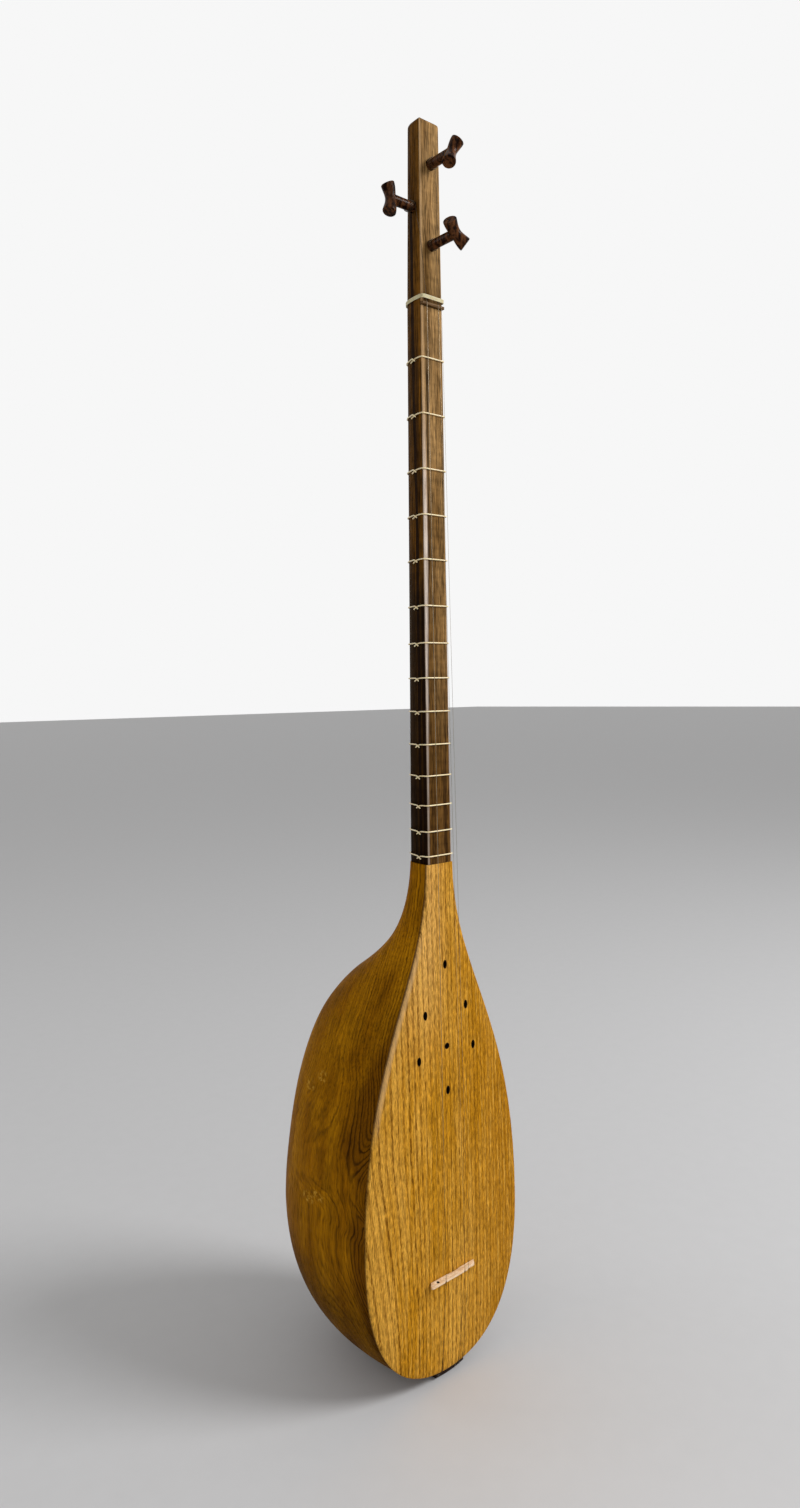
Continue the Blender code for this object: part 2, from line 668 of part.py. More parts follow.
def make_tailpiece(parts, helpers, wood, steel):
    """A block under the tail: a narrow lip along the soundboard's edge and a flat face to stand on."""
    tail = half_outline()[OUTLINE_STEPS:][::-1]
    back_y = tailpiece_front_y + TAILPIECE_DEPTH
    flat_y = tailpiece_front_y + TAILPIECE_CHAMFER
    rings = []
    for share in np.linspace(-0.5, 0.5, TAILPIECE_STEPS + 1):
        x = TAILPIECE_RIGHT_OF_CENTRE + share * TAILPIECE_LENGTH
        lip_z = float(np.interp(abs(x), tail[:, 0], tail[:, 1])) - TAILPIECE_LIP
        section = [(tailpiece_front_y, TAILPIECE_TOP), (tailpiece_front_y, lip_z), (flat_y, 0), (back_y, 0)]
        rings.append([(x, y, z) for y, z in [*section, (back_y, TAILPIECE_TOP)]])
    tailpiece = add_loft("tailpiece", rings, parts, wood)
    boolean(tailpiece, bowl_loft("bowl_seat", -GAP, joint_z, helpers))
    for number, string in enumerate(STRINGS, 1):
        start = (pin_x(string), pin_front_y, PIN_ABOVE_FOOT)
        end = (pin_x(string), pin_front_y + PIN_LENGTH, PIN_ABOVE_FOOT)
        past = (pin_x(string), pin_front_y + PIN_LENGTH + GAP, PIN_ABOVE_FOOT)
        add_rod(f"hitch_pin_{number}", start, end, PIN_DIAMETER, PIN_SIDES, parts, material=steel)
        hole = PIN_DIAMETER + 2 * GAP
        boolean(tailpiece, add_rod(f"pin_hole_{number}", start, past, hole, PIN_SIDES, helpers))


def loop_radius(string):
    return PIN_DIAMETER / 2 + GAP + string["diameter"] / 2


def pin_x(string):
    return string["tail"] - loop_radius(string)


def peg_frame(peg):
    """Where a peg's axis leaves the head: X along the axis out of the wood, Z along the crossbar."""
    z = nut_z + peg["above_nut"]
    half, depth = neck_section(z)[:2]
    side, up = peg["bar"]
    if peg["side"] == "front":
        out = Vector((0, -1, 0))
        place = Vector((peg["across"], board_y, z))
        bar = Vector((side, 0, up)).normalized()
        through = depth
    else:
        out = Vector((-1, 0, 0))
        place = Vector((-half, board_y + peg["across"], z))
        bar = Vector((0, side, up)).normalized()
        through = 2 * half
    turn = Matrix((out, bar.cross(out), bar)).transposed().to_4x4()
    return {"matrix": Matrix.Translation(place) @ turn, "through": through, "reach": peg["reach"]}


def peg_shaft(name, frame, extra, past_tip, collection):
    """A peg's tapered shaft along X in its own frame, or the hole for it."""
    tip = -frame["through"] - PEG_TIP_PROUD - past_tip
    end = frame["reach"] if not past_tip else CUT_MARGIN
    diameters = (PEG_TIP_DIAMETER + extra, PEG_SHAFT_DIAMETER + extra)
    rod = add_rod(name, (tip, 0, 0), (end, 0, 0), diameters[0], PEG_SIDES, collection, diameters[1])
    rod.matrix_world = frame["matrix"]
    return rod


def make_peg(number, frame, parts, helpers, material, axis):
    """A bowed crossbar, thin at its waist and flared to its ends, on the tapered shaft."""
    name = f"peg_{number}"
    half = PEG_BAR_LENGTH / 2
    waist, rim = PEG_WAIST_DIAMETER / 2, PEG_BAR_DIAMETER / 2
    rings = []
    for share in np.linspace(-1, 1, PEG_BAR_STEPS + 1).tolist():
        centre = Vector((frame["reach"] + PEG_BAR_BOW * share * share, 0, half * share))
        along = Vector((2 * PEG_BAR_BOW * share, 0, half)).normalized()
        out = Vector((along.z, 0, -along.x))
        radius = waist + (rim - waist) * smooth_step(abs(share))
        rings.append((centre, along, out, radius))
    first, last = rings[0], rings[-1]
    rings.insert(0, (first[0] - PEG_END_EASE * first[1], first[1], first[2], first[3] - PEG_END_EASE))
    rings.append((last[0] + PEG_END_EASE * last[1], last[1], last[2], last[3] - PEG_END_EASE))
    circle = [2 * math.pi * i / PEG_SIDES for i in range(PEG_SIDES)]
    loft = [
        [centre + radius * (math.cos(angle) * out + math.sin(angle) * Vector((0, 1, 0))) for angle in circle]
        for centre, _, out, radius in rings
    ]
    peg = add_loft(name, loft, parts, material)
    peg.parent = axis
    boolean(peg, peg_shaft(f"{name}_shaft", frame, 0.0, 0.0, helpers), "UNION")


def make_winding(number, frame, string, parts, material, axis):
    """The turns of string that go round with the peg."""
    radius = PEG_SHAFT_DIAMETER / 2 + GAP + string["diameter"] / 2
    pitch = string["diameter"] + COIL_GAP
    start = STRING_FROM_HEAD + pitch
    points = []
    for i in range(WINDING_TURNS * LOOP_STEPS + 1):
        angle = 2 * math.pi * i / LOOP_STEPS
        points.append((start + pitch * i / LOOP_STEPS, radius * math.cos(angle), radius * math.sin(angle)))
    winding = add_tube(f"string_winding_{number}", points, string["diameter"], material, parts)
    winding.parent = axis
    return least_gap(points, string["diameter"], 6)


def make_string(number, string, bridge_top_y, parts, material):
    """One string: loop round its pin, over the bridge and the nut, under the binding, half round its peg."""
    thick = string["diameter"]
    radius = loop_radius(string)
    middle = pin_x(string)
    loop_y = (pin_front_y + tailpiece_front_y) / 2
    points = []
    for i in range(PIN_LOOP_STEPS + 1):
        angle = PIN_LOOP_TURN * (i / PIN_LOOP_STEPS - 1)
        place_y = loop_y + thick * (1 - i / PIN_LOOP_STEPS)
        points.append((middle + radius * math.cos(angle), place_y, PIN_ABOVE_FOOT + radius * math.sin(angle)))
    points.append((string["tail"], board_y - STRING_BEFORE_EDGE, tail_z + STRING_BEFORE_EDGE))
    points.append((string["bridge"], bridge_top_y, bridge_place(string["bridge"])))
    nut_y = board_y - NUT_HEIGHT - GAP - thick / 2
    points.append((string["nut"], nut_y, nut_z - NUT_THICKNESS / 2))
    points.append((string["nut"], nut_y, nut_z + NUT_THICKNESS / 2 + GAP))
    under_y = board_y - STRING_UNDER_BINDING
    bound = nut_z + BINDING_ABOVE_NUT + BINDING_TURNS * (BINDING_THICKNESS + COIL_GAP)
    points.append((string["nut"], under_y, nut_z + BINDING_ABOVE_NUT - BINDING_THICKNESS))
    points.append((string["nut"], under_y, bound))
    peg = PEGS[string["peg"] - 1]
    around = PEG_SHAFT_DIAMETER / 2 + GAP + thick / 2
    peg_z = nut_z + peg["above_nut"]
    if peg["side"] == "left":
        half = neck_section(peg_z)[0]
        clear = half + GAP + thick
        points += [(-clear - out, board_y + behind, peg_z - down) for out, behind, down in SIDE_PEG_APPROACH]
        centre_y = board_y + peg["across"]
        for angle in np.linspace(0, math.pi, LOOP_STEPS // 2 + 1):
            x = -half - STRING_FROM_HEAD
            points.append((x, centre_y - around * math.cos(angle), peg_z + around * math.sin(angle)))
    else:
        y = board_y - STRING_FROM_HEAD
        for angle in np.linspace(0, math.pi, LOOP_STEPS // 2 + 1):
            x = peg["across"] + around * math.cos(angle)
            points.append((x, y, peg_z + around * math.sin(angle)))
    add_tube(f"string_{number}", points, thick, material, parts)


def main():
    clear_scene()
    parts = new_collection("tanbur")
    helpers = new_collection("tanbur_cutters", helpers=True)
    bowl_wood = new_material("bowl wood", (0.33, 0.14, 0.045), 0.38)
    board_wood = new_material("soundboard wood", (0.52, 0.28, 0.11), 0.45)
    neck_wood = new_material("neck wood", (0.16, 0.075, 0.04), 0.40)
    peg_wood = new_material("peg wood", (0.10, 0.022, 0.014), 0.22)
    nut_wood = new_material("nut wood", (0.05, 0.02, 0.012), 0.40)
    bridge_wood = new_material("bridge wood", (0.62, 0.47, 0.33), 0.50)
    tail_wood = new_material("tailpiece wood", (0.06, 0.027, 0.016), 0.40)
    gut = new_material("gut", (0.72, 0.60, 0.40), 0.45)
    steel = new_material("string steel", (0.62, 0.60, 0.57), 0.25, 1.0)

    frames = [peg_frame(peg) for peg in PEGS]
    make_bowl(parts, helpers, bowl_wood)
    make_soundboard(parts, helpers, board_wood)
    make_neck(parts, helpers, neck_wood, frames)
    make_nut(parts, nut_wood)
    bridge_top_y = make_bridge(parts, helpers, bridge_wood)
    make_tailpiece(parts, helpers, tail_wood, steel)
    fret_gap = min(make_fret(number, parts, gut) for number in range(1, len(FRET_CENTS) + 1))
    binding_gap = make_binding(parts, gut)
    winding_gap = math.inf
    for number, frame in enumerate(frames, 1):
        axis = bpy.data.objects.new(f"peg_{number}_axis", None)
        axis.matrix_world = frame["matrix"]
        parts.objects.link(axis)
        make_peg(number, frame, parts, helpers, peg_wood, axis)
        string = next(item for item in STRINGS if item["peg"] == number)
        winding_gap = min(winding_gap, make_winding(number, frame, string, parts, steel, axis))
    for number, string in enumerate(STRINGS, 1):
        make_string(number, string, bridge_top_y, parts, steel)
    for name, gap in (("frets", fret_gap), ("binding", binding_gap), ("windings", winding_gap)):
        print(f"least gap in mm, {name}: {gap * 1000:.2f}")


main()
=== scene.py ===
import json
import math

import bpy
from mathutils import Matrix, Vector


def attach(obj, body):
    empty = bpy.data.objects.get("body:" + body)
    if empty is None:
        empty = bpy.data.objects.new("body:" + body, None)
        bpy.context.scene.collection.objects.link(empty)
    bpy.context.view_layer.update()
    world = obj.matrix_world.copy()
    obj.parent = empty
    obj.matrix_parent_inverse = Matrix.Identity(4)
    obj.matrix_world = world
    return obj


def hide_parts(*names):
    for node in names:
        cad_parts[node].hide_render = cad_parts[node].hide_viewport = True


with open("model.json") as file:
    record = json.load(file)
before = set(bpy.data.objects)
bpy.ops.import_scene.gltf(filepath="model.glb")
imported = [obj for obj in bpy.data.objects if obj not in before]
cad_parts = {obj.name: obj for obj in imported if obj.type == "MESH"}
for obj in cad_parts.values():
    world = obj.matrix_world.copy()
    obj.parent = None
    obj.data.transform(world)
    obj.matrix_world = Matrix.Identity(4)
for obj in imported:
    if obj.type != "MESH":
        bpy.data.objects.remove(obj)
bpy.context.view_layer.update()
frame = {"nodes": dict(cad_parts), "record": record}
nodes = frame["nodes"]
record = frame["record"]
slotOf = {row["node"]: row["material_slot"] for row in record["subparts"]}
bodyOf = {node: body for body, members in record["behaviour"]["bodies"].items() for node in members}
print("frame loaded:", len(nodes), "nodes")


# Camera, at the photograph's place and angle

cameraLook = {
    "place": (-0.4628, -0.5165, 0.4829),
    "forward": (0.6479, 0.7592, -0.0623),
    "up": (0.0541, 0.0357, 0.9979),
    "lens": 24.09, "sensor": 36.0,
}


def makeCamera():
    data = bpy.data.cameras.new("photoCamera")
    data.sensor_fit = "VERTICAL"
    data.sensor_height = cameraLook["sensor"]
    data.lens = cameraLook["lens"]
    data.clip_start = 0.01
    camera = bpy.data.objects.new("photoCamera", data)
    bpy.context.scene.collection.objects.link(camera)
    forward = Vector(cameraLook["forward"]).normalized()
    right = forward.cross(Vector(cameraLook["up"])).normalized()
    turn = Matrix((right, right.cross(forward), -forward)).transposed().to_4x4()
    camera.matrix_world = Matrix.Translation(cameraLook["place"]) @ turn
    bpy.context.scene.camera = camera


makeCamera()


# Small helpers for materials

def newMaterial(name):
    material = bpy.data.materials.new(name)
    material.use_nodes = True
    tree = material.node_tree
    return material, tree, tree.nodes["Principled BSDF"]


def addNode(tree, kind, inputs=None, **settings):
    node = tree.nodes.new(kind)
    for key, value in settings.items():
        setattr(node, key, value)
    for key, value in (inputs or {}).items():
        if isinstance(value, bpy.types.NodeSocket):
            tree.links.new(value, node.inputs[key])
        else:
            node.inputs[key].default_value = value
    return node


def calculate(tree, operation, *values, clamp=False):
    node = addNode(tree, "ShaderNodeMath", operation=operation, use_clamp=clamp)
    for socket, value in zip(node.inputs, values):
        if isinstance(value, bpy.types.NodeSocket):
            tree.links.new(value, socket)
        else:
            socket.default_value = value
    return node.outputs[0]


def times(tree, *values):
    return calculate(tree, "MULTIPLY", *values)


def plus(tree, *values):
    return calculate(tree, "ADD", *values)


def fade(tree, value, start, end):
    # 0 before start, 1 past end, and it may run downwards
    node = addNode(tree, "ShaderNodeMapRange", {"Value": value, "From Min": start, "From Max": end})
    node.interpolation_type = "SMOOTHSTEP"
    return node.outputs["Result"]


def placeInMm(tree, turn=(0, 0, 0)):
    coordinates = addNode(tree, "ShaderNodeTexCoord")
    mapping = addNode(tree, "ShaderNodeMapping", {"Vector": coordinates.outputs["Object"]})
    mapping.inputs["Rotation"].default_value = turn
    mapping.inputs["Scale"].default_value = (1000, 1000, 1000)
    split = addNode(tree, "ShaderNodeSeparateXYZ", {"Vector": mapping.outputs["Vector"]})
    return split.outputs["X"], split.outputs["Y"], split.outputs["Z"]


def noiseAt(tree, place, size, detail=2.0, roughness=0.5, distortion=0.0):
    # size is the pattern's rough grain in mm along each axis
    parts = [times(tree, axis, 1.0 / grain) for axis, grain in zip(place, size)]
    vector = addNode(tree, "ShaderNodeCombineXYZ", dict(zip(("X", "Y", "Z"), parts))).outputs["Vector"]
    values = {"Vector": vector, "Scale": 1.0, "Detail": detail, "Roughness": roughness, "Distortion": distortion}
    return addNode(tree, "ShaderNodeTexNoise", values).outputs["Fac"]


def sway(tree, place, size, reach, detail=2.0):
    # A noise that swings to both sides of zero by about reach
    return times(tree, calculate(tree, "SUBTRACT", noiseAt(tree, place, size, detail), 0.5), 2.0 * reach)


def curveOf(tree, factor, stops):
    node = addNode(tree, "ShaderNodeValToRGB", {"Fac": factor})
    elements = node.color_ramp.elements
    while len(elements) < len(stops):
        elements.new(0.5)
    for element, (position, value) in zip(elements, stops):
        element.position = position
        element.color = (value, value, value, 1.0)
    return node.outputs["Color"]


def mixed(tree, factor, first, second, mode="MIX"):
    node = addNode(tree, "ShaderNodeMix", data_type="RGBA", blend_type=mode)
    for socket, value in ((node.inputs[0], factor), (node.inputs[6], first), (node.inputs[7], second)):
        if isinstance(value, bpy.types.NodeSocket):
            tree.links.new(value, socket)
        elif isinstance(value, tuple):
            socket.default_value = (*value, 1.0)
        else:
            socket.default_value = value
    return node.outputs[2]


def brightened(tree, colour, factor, low, high):
    shade = curveOf(tree, factor, [(0.25, low), (0.75, high)])
    return mixed(tree, 1.0, colour, shade, "MULTIPLY")


def bumpFrom(tree, shader, height, distance, strength=1.0):
    bump = addNode(tree, "ShaderNodeBump", {"Height": height, "Distance": distance, "Strength": strength})
    tree.links.new(bump.outputs["Normal"], shader.inputs["Normal"])


def finishWood(tree, shader, look, colour, pores, fibre):
    tree.links.new(colour, shader.inputs["Base Color"])
    rough = plus(tree, times(tree, pores, look["poreRough"]), times(tree, fibre, 0.10))
    tree.links.new(plus(tree, rough, look["gloss"]), shader.inputs["Roughness"])
    shader.inputs["Specular IOR Level"].default_value = look["shine"]
    height = calculate(tree, "SUBTRACT", times(tree, fibre, 0.35), pores)
    bumpFrom(tree, shader, height, look["relief"])


# Soundboard: straight growth lines made of dark dashed pores, wider apart at the left, leaning at the lower left

boardLook = {
    "ground": (0.525, 0.234, 0.010), "pale": (0.690, 0.352, 0.050), "deep": (0.405, 0.167, 0.003),
    "line": (0.130, 0.044, 0.002), "streak": (0.750, 0.402, 0.064), "rim": (0.620, 0.400, 0.190),
    "upper": (0.720, 0.395, 0.105),
    "seam": (0.085, 0.032, 0.004),
    "linesPerMm": 0.235, "narrowing": 0.00050, "waver": 0.30, "lean": 0.137, "leanFrom": 168,
    "dashWide": 0.6, "dashLong": 5.0, "lineDepth": 1.0, "finePores": 0.60, "edge": -14.5,
    "gloss": 0.42, "poreRough": 0.25, "shine": 0.018, "relief": 0.00014,
    # the sound holes, as x, z, half height and height over width
    "holes": ((2, 295, 2.75, 1.72), (21, 263, 2.75, 1.72), (-17, 263, 2.75, 1.72), (27.5, 233, 2.75, 1.72),
              (-23.5, 233, 2.75, 1.72), (2, 207, 2.75, 1.72), (2, 238, 1.85, 1.0)),
    # painted shade in and around the sound holes
    "burnt": (0.012, 0.007, 0.005),
    # painted shadows of the strings near the tail, as x at the tail's edge, x at the bridge and upper end
    "stringShadows": ((-6.2, -7.5, 19.0), (9.6, 10.5, 14.0), (13.4, 14.0, 14.0)),
    "stringShadowsFrom": 6.0, "stringShadowsTo": 76.0,
    # half width in mm at heights in mm, to find the edge from
    "outline": ((60, 65.2), (109, 70.8), (165, 67.2), (190, 63.0), (215, 56.8), (240, 48.6), (262, 40.1),
                (285, 30.6), (310, 21.2), (335, 14.6), (365, 11.7)),
}


def boardMaterial():
    look = boardLook
    material, tree, shader = newMaterial("boardWood")
    x, y, z = placeInMm(tree)
    place = (x, y, z)
    below = calculate(tree, "MAXIMUM", calculate(tree, "SUBTRACT", look["leanFrom"], z), 0.0)
    lean = times(tree, times(tree, below, look["lean"]), fade(tree, x, -12, -58))
    across = calculate(tree, "SUBTRACT", x, lean)
    across = plus(tree, across, sway(tree, place, (70, 70, 300), 1.8))
    across = plus(tree, across, sway(tree, place, (9, 9, 60), 0.25))
    ring = plus(tree, times(tree, across, look["linesPerMm"]), times(tree, times(tree, across, across), look["narrowing"]))
    ring = plus(tree, ring, sway(tree, (times(tree, ring, 5.0), 0.0, 0.0), (5.5, 1, 1), look["waver"]))
    band = curveOf(tree, calculate(tree, "FRACT", ring), [(0.0, 0.5), (0.06, 0.0), (0.62, 0.0), (0.76, 0.85), (0.94, 1.0), (1.0, 0.5)])
    own = addNode(tree, "ShaderNodeTexWhiteNoise", {"W": calculate(tree, "FLOOR", ring)}, noise_dimensions="1D")
    band = times(tree, band, plus(tree, times(tree, own.outputs["Value"], 0.45), 0.55))
    band = times(tree, band, plus(tree, times(tree, fade(tree, x, 42, 5), 0.30), 0.70))
    dashes = curveOf(tree, noiseAt(tree, (x, y, z), (look["dashWide"], 3, look["dashLong"])), [(0.43, 0.0), (0.54, 1.0)])
    grit = noiseAt(tree, place, (1.1, 3, 4.5), 2.0, 0.6)
    fine = curveOf(tree, noiseAt(tree, place, (0.30, 2, 5.5)), [(0.54, 0.0), (0.64, 1.0)])
    fibre = noiseAt(tree, place, (0.25, 1, 30), 3.0, 0.6)
    broad = noiseAt(tree, place, (26, 26, 150), 3.0, 0.55)
    colour = mixed(tree, fade(tree, broad, 0.35, 0.70), look["ground"], look["pale"])
    colour = mixed(tree, times(tree, fade(tree, x, -8, 60), 0.80), colour, look["deep"])
    topLeft = times(tree, fade(tree, z, 200, 330), fade(tree, x, 12, -14))
    colour = mixed(tree, times(tree, topLeft, 0.8), colour, look["upper"])
    colour = mixed(tree, times(tree, fade(tree, across, -61, -66), 0.8), colour, look["pale"])
    streaks = curveOf(tree, noiseAt(tree, place, (1.6, 3, 40), 2.0), [(0.50, 0.0), (0.64, 1.0)])
    colour = mixed(tree, times(tree, streaks, 0.5), colour, look["streak"])
    inLine = times(tree, band, plus(tree, times(tree, dashes, 0.72), 0.28))
    colour = mixed(tree, times(tree, inLine, look["lineDepth"]), colour, look["line"])
    colour = mixed(tree, times(tree, fine, look["finePores"]), colour, look["line"])
    colour = brightened(tree, colour, grit, 0.60, 1.40)
    colour = brightened(tree, colour, fibre, 0.78, 1.20)
    halfWidth = curveOf(tree, times(tree, z, 1.0 / 400), [(at / 400, wide / 100) for at, wide in look["outline"]])
    fromLeft = plus(tree, x, times(tree, halfWidth, 100.0))
    # painted highlight: a pale band along the upper left rim of the board
    leftRimHighlight = times(tree, fade(tree, fromLeft, 4.5, 1.5), times(tree, fade(tree, z, 180, 215), fade(tree, z, 325, 295)))
    colour = mixed(tree, times(tree, leftRimHighlight, 0.55), colour, look["rim"])
    # painted highlight: a pale line along the eased front edge, stronger to the right
    rim = times(tree, fade(tree, y, look["edge"] + 0.1, look["edge"] + 0.5), fade(tree, x, -20, 30))
    colour = mixed(tree, times(tree, rim, 0.6), colour, look["rim"])
    # painted shade on the back of the board's edge, next to the bowl
    colour = mixed(tree, times(tree, fade(tree, y, look["edge"] + 0.9, look["edge"] + 1.5), 0.8), colour, look["seam"])
    hole = None
    for holeX, holeZ, radius, narrow in look["holes"]:
        dx, dz = times(tree, plus(tree, x, -holeX), narrow), plus(tree, z, -holeZ)
        away = calculate(tree, "SQRT", plus(tree, times(tree, dx, dx), times(tree, dz, dz)))
        away = plus(tree, away, -radius)
        hole = away if hole is None else calculate(tree, "MINIMUM", hole, away)
    # painted shade: the sound holes' walls and rims are made near black
    colour = mixed(tree, fade(tree, hole, 0.55, 0.15), colour, look["burnt"])
    # painted shadows of the strings, running up from the tail's edge towards the bridge
    share = times(tree, plus(tree, z, -look["stringShadowsFrom"]), 1.0 / (look["stringShadowsTo"] - look["stringShadowsFrom"]))
    for tailX, bridgeX, top in look["stringShadows"]:
        line = calculate(tree, "SUBTRACT", plus(tree, x, -tailX), times(tree, share, bridgeX - tailX))
        mark = fade(tree, calculate(tree, "ABSOLUTE", line), 0.60, 0.25)
        mark = times(tree, mark, fade(tree, z, top, top - 6.0))
        colour = mixed(tree, times(tree, mark, 0.85), colour, look["seam"])
    pores = calculate(tree, "MAXIMUM", times(tree, inLine, 0.8), times(tree, fine, 0.6))
    finishWood(tree, shader, look, colour, pores, fibre)
    return material


# Bowl: grain along the instrument, drawn into pointed figures and a round heart near the soundboard's edge

bowlLook = {
    "ground": (0.225, 0.084, 0.0005), "pale": (0.360, 0.150, 0.0020), "dark": (0.024, 0.007, 0.0005),
    "swirl": (0.145, 0.050, 0.0010),
    "line": (0.026, 0.008, 0.0004), "spotHighlight": (0.520, 0.270, 0.0300), "rimDepth": -11.7,
    "pointed": (262, 152, 42), "hollow": (150, 116, 18), "tail": (108, 34, 30), "ringWide": 2.9,
    # painted highlight spots on the bowl's left side, as x, y, z centres
    "highlightSpots": ((-56, 66, 203), (-56, 50, 213), (-69, 53, 129), (-70, 40, 135)),
    "lineDepth": 0.90, "gloss": 0.36, "poreRough": 0.25, "shine": 0.008, "relief": 0.00010,
}


def bowlMaterial():
    look = bowlLook
    material, tree, shader = newMaterial("bowlWood")
    x, y, z = placeInMm(tree)
    place = (x, y, z)
    deep = plus(tree, y, -look["rimDepth"])
    # the other side of the bowl shows the same log further along
    along = plus(tree, z, times(tree, plus(tree, x, 70.0), 0.55))
    tip = plus(tree, -14.0, times(tree, fade(tree, along, 235, 160), 28.0))
    tip = plus(tree, tip, times(tree, fade(tree, along, 150, 122), -22.0))
    off = plus(tree, deep, times(tree, tip, -1.0))
    arm = calculate(tree, "SQRT", plus(tree, times(tree, off, off), 30.0))
    profile = times(tree, fade(tree, along, look["pointed"][0], look["pointed"][1]), look["pointed"][2])
    profile = plus(tree, profile, times(tree, fade(tree, along, look["hollow"][0], look["hollow"][1]), -look["hollow"][2]))
    profile = plus(tree, profile, times(tree, fade(tree, along, look["tail"][0], look["tail"][1]), look["tail"][2]))
    bent = plus(tree, arm, times(tree, profile, fade(tree, deep, 84, 10)))
    bent = plus(tree, bent, sway(tree, place, (34, 34, 120), 4.0))
    bent = plus(tree, bent, sway(tree, place, (6, 6, 12), 1.2))
    ring = times(tree, bent, 1.0 / look["ringWide"])
    ring = plus(tree, ring, sway(tree, (ring, 0.0, 0.0), (1.6, 1, 1), 0.7))
    band = curveOf(tree, calculate(tree, "FRACT", ring), [(0.0, 0.5), (0.07, 0.0), (0.52, 0.05), (0.84, 1.0), (1.0, 0.5)])
    own = addNode(tree, "ShaderNodeTexWhiteNoise", {"W": calculate(tree, "FLOOR", ring)}, noise_dimensions="1D")
    band = times(tree, band, plus(tree, times(tree, own.outputs["Value"], 0.65), 0.35))
    pores = curveOf(tree, noiseAt(tree, place, (0.9, 0.9, 9.0)), [(0.50, 0.0), (0.64, 1.0)])
    fibre = noiseAt(tree, place, (0.5, 0.5, 30), 3.0, 0.6)
    streaks = noiseAt(tree, (plus(tree, x, y), bent, z), (6.0, 2.2, 90), 2.0)
    broad = noiseAt(tree, place, (22, 22, 90), 3.0, 0.55)
    # dark heart: narrow at the top, widest above the points, gone at them, narrow again down to the tail
    reach = curveOf(tree, times(tree, along, 1.0 / 300), [
        (0.13, 0.06), (0.30, 0.13), (0.42, 0.17), (0.47, 0.10), (0.53, 0.10), (0.60, 0.30), (0.72, 0.22), (0.86, 0.10), (0.95, -0.10)])
    heartwood = plus(tree, plus(tree, deep, sway(tree, place, (12, 12, 26), 6.0)), times(tree, reach, -100.0))
    heartwood = fade(tree, heartwood, 6.0, -9.0)
    colour = mixed(tree, fade(tree, broad, 0.30, 0.72), look["ground"], look["pale"])
    colour = brightened(tree, colour, streaks, 0.66, 1.38)
    core = mixed(tree, times(tree, band, 1.2), look["swirl"], look["dark"])
    colour = mixed(tree, times(tree, heartwood, 0.88), colour, core)
    lines = times(tree, band, plus(tree, times(tree, pores, 0.40), 0.60))
    nearFigure = plus(tree, times(tree, fade(tree, deep, 70, 25), 0.55), 0.45)
    colour = mixed(tree, times(tree, times(tree, lines, nearFigure), look["lineDepth"]), colour, look["line"])
    colour = mixed(tree, times(tree, pores, 0.36), colour, look["line"])
    # painted highlight: small pale spots, broken up by noise
    spotHighlight = None
    for at in look["highlightSpots"]:
        gaps = [calculate(tree, "DIVIDE", plus(tree, axis, -value), wide) for axis, value, wide in zip(place, at, (9, 9.0, 4.6))]
        away = plus(tree, *(times(tree, gap, gap) for gap in gaps[1:]))
        away = plus(tree, away, times(tree, gaps[0], gaps[0]))
        spotHighlight = away if spotHighlight is None else calculate(tree, "MINIMUM", spotHighlight, away)
    spotHighlight = times(tree, fade(tree, spotHighlight, 1.0, 0.2), fade(tree, noiseAt(tree, place, (3.4, 3.4, 2.4), 2.0), 0.46, 0.62))
    colour = mixed(tree, times(tree, spotHighlight, 0.85), colour, look["spotHighlight"])
    curl = noiseAt(tree, place, (18, 18, 5.5), 1.0)
    colour = brightened(tree, colour, curl, 0.92, 1.10)
    # painted shade: darker towards the bottom of the bowl
    colour = brightened(tree, colour, fade(tree, z, 20, 140), 0.52, 1.09)
    colour = brightened(tree, colour, fade(tree, z, 250, 340), 1.0, 1.20)
    colour = brightened(tree, colour, fibre, 0.80, 1.20)
    finishWood(tree, shader, look, colour, times(tree, pores, 0.7), fibre)
    return material


# Neck and head: warm brown on the front, with painted shade darkening the sides and a painted highlight along the front
# corners

neckLook = {
    "ground": (0.190, 0.098, 0.028), "pale": (0.375, 0.220, 0.084), "low": (0.095, 0.042, 0.008),
    "side": (0.030, 0.012, 0.001), "shadedSideUp": (0.165, 0.063, 0.003),
    "line": (0.010, 0.004, 0.002), "worn": (0.800, 0.670, 0.570), "paintedLightUp": (0.600, 0.380, 0.190), "streakWide": 2.3,
    "streakBehind": 7.0, "streakFurther": 2.2,
    # how dark the front is, and how wide (in cm) and pale the painted highlight strip is, at heights in m
    "darkness": ((0.43, 0.82), (0.50, 0.45), (0.58, 0.46), (0.66, 0.06)),
    "stripWide": ((0.38, 0.20), (0.50, 0.28), (0.58, 0.38), (0.66, 0.30), (0.76, 0.22), (0.85, 0.16)),
    "stripDepth": ((0.38, 0.20), (0.44, 0.40), (0.50, 0.80), (0.58, 0.98), (0.66, 0.85), (0.76, 0.75), (0.85, 0.50)),
    "front": -14.5, "joint": (365.0, 11.3, 2.0), "nut": (736.0, 9.3, 0.9), "top": (854.0, 8.6, 0.9),
    "gloss": 0.36, "poreRough": 0.25, "shine": 0.01, "relief": 0.00008,
}


def betweenHeights(tree, z, item):
    # A size of the neck that runs straight from the joint to the nut and on to the top of the head
    joint, nut, top = neckLook["joint"], neckLook["nut"], neckLook["top"]
    lower = addNode(tree, "ShaderNodeMapRange", {
        "Value": z, "From Min": joint[0], "From Max": nut[0], "To Min": joint[item], "To Max": nut[item]})
    upper = addNode(tree, "ShaderNodeMapRange", {
        "Value": z, "From Min": nut[0], "From Max": top[0], "To Min": 0.0, "To Max": top[item] - nut[item]})
    return plus(tree, lower.outputs["Result"], upper.outputs["Result"])


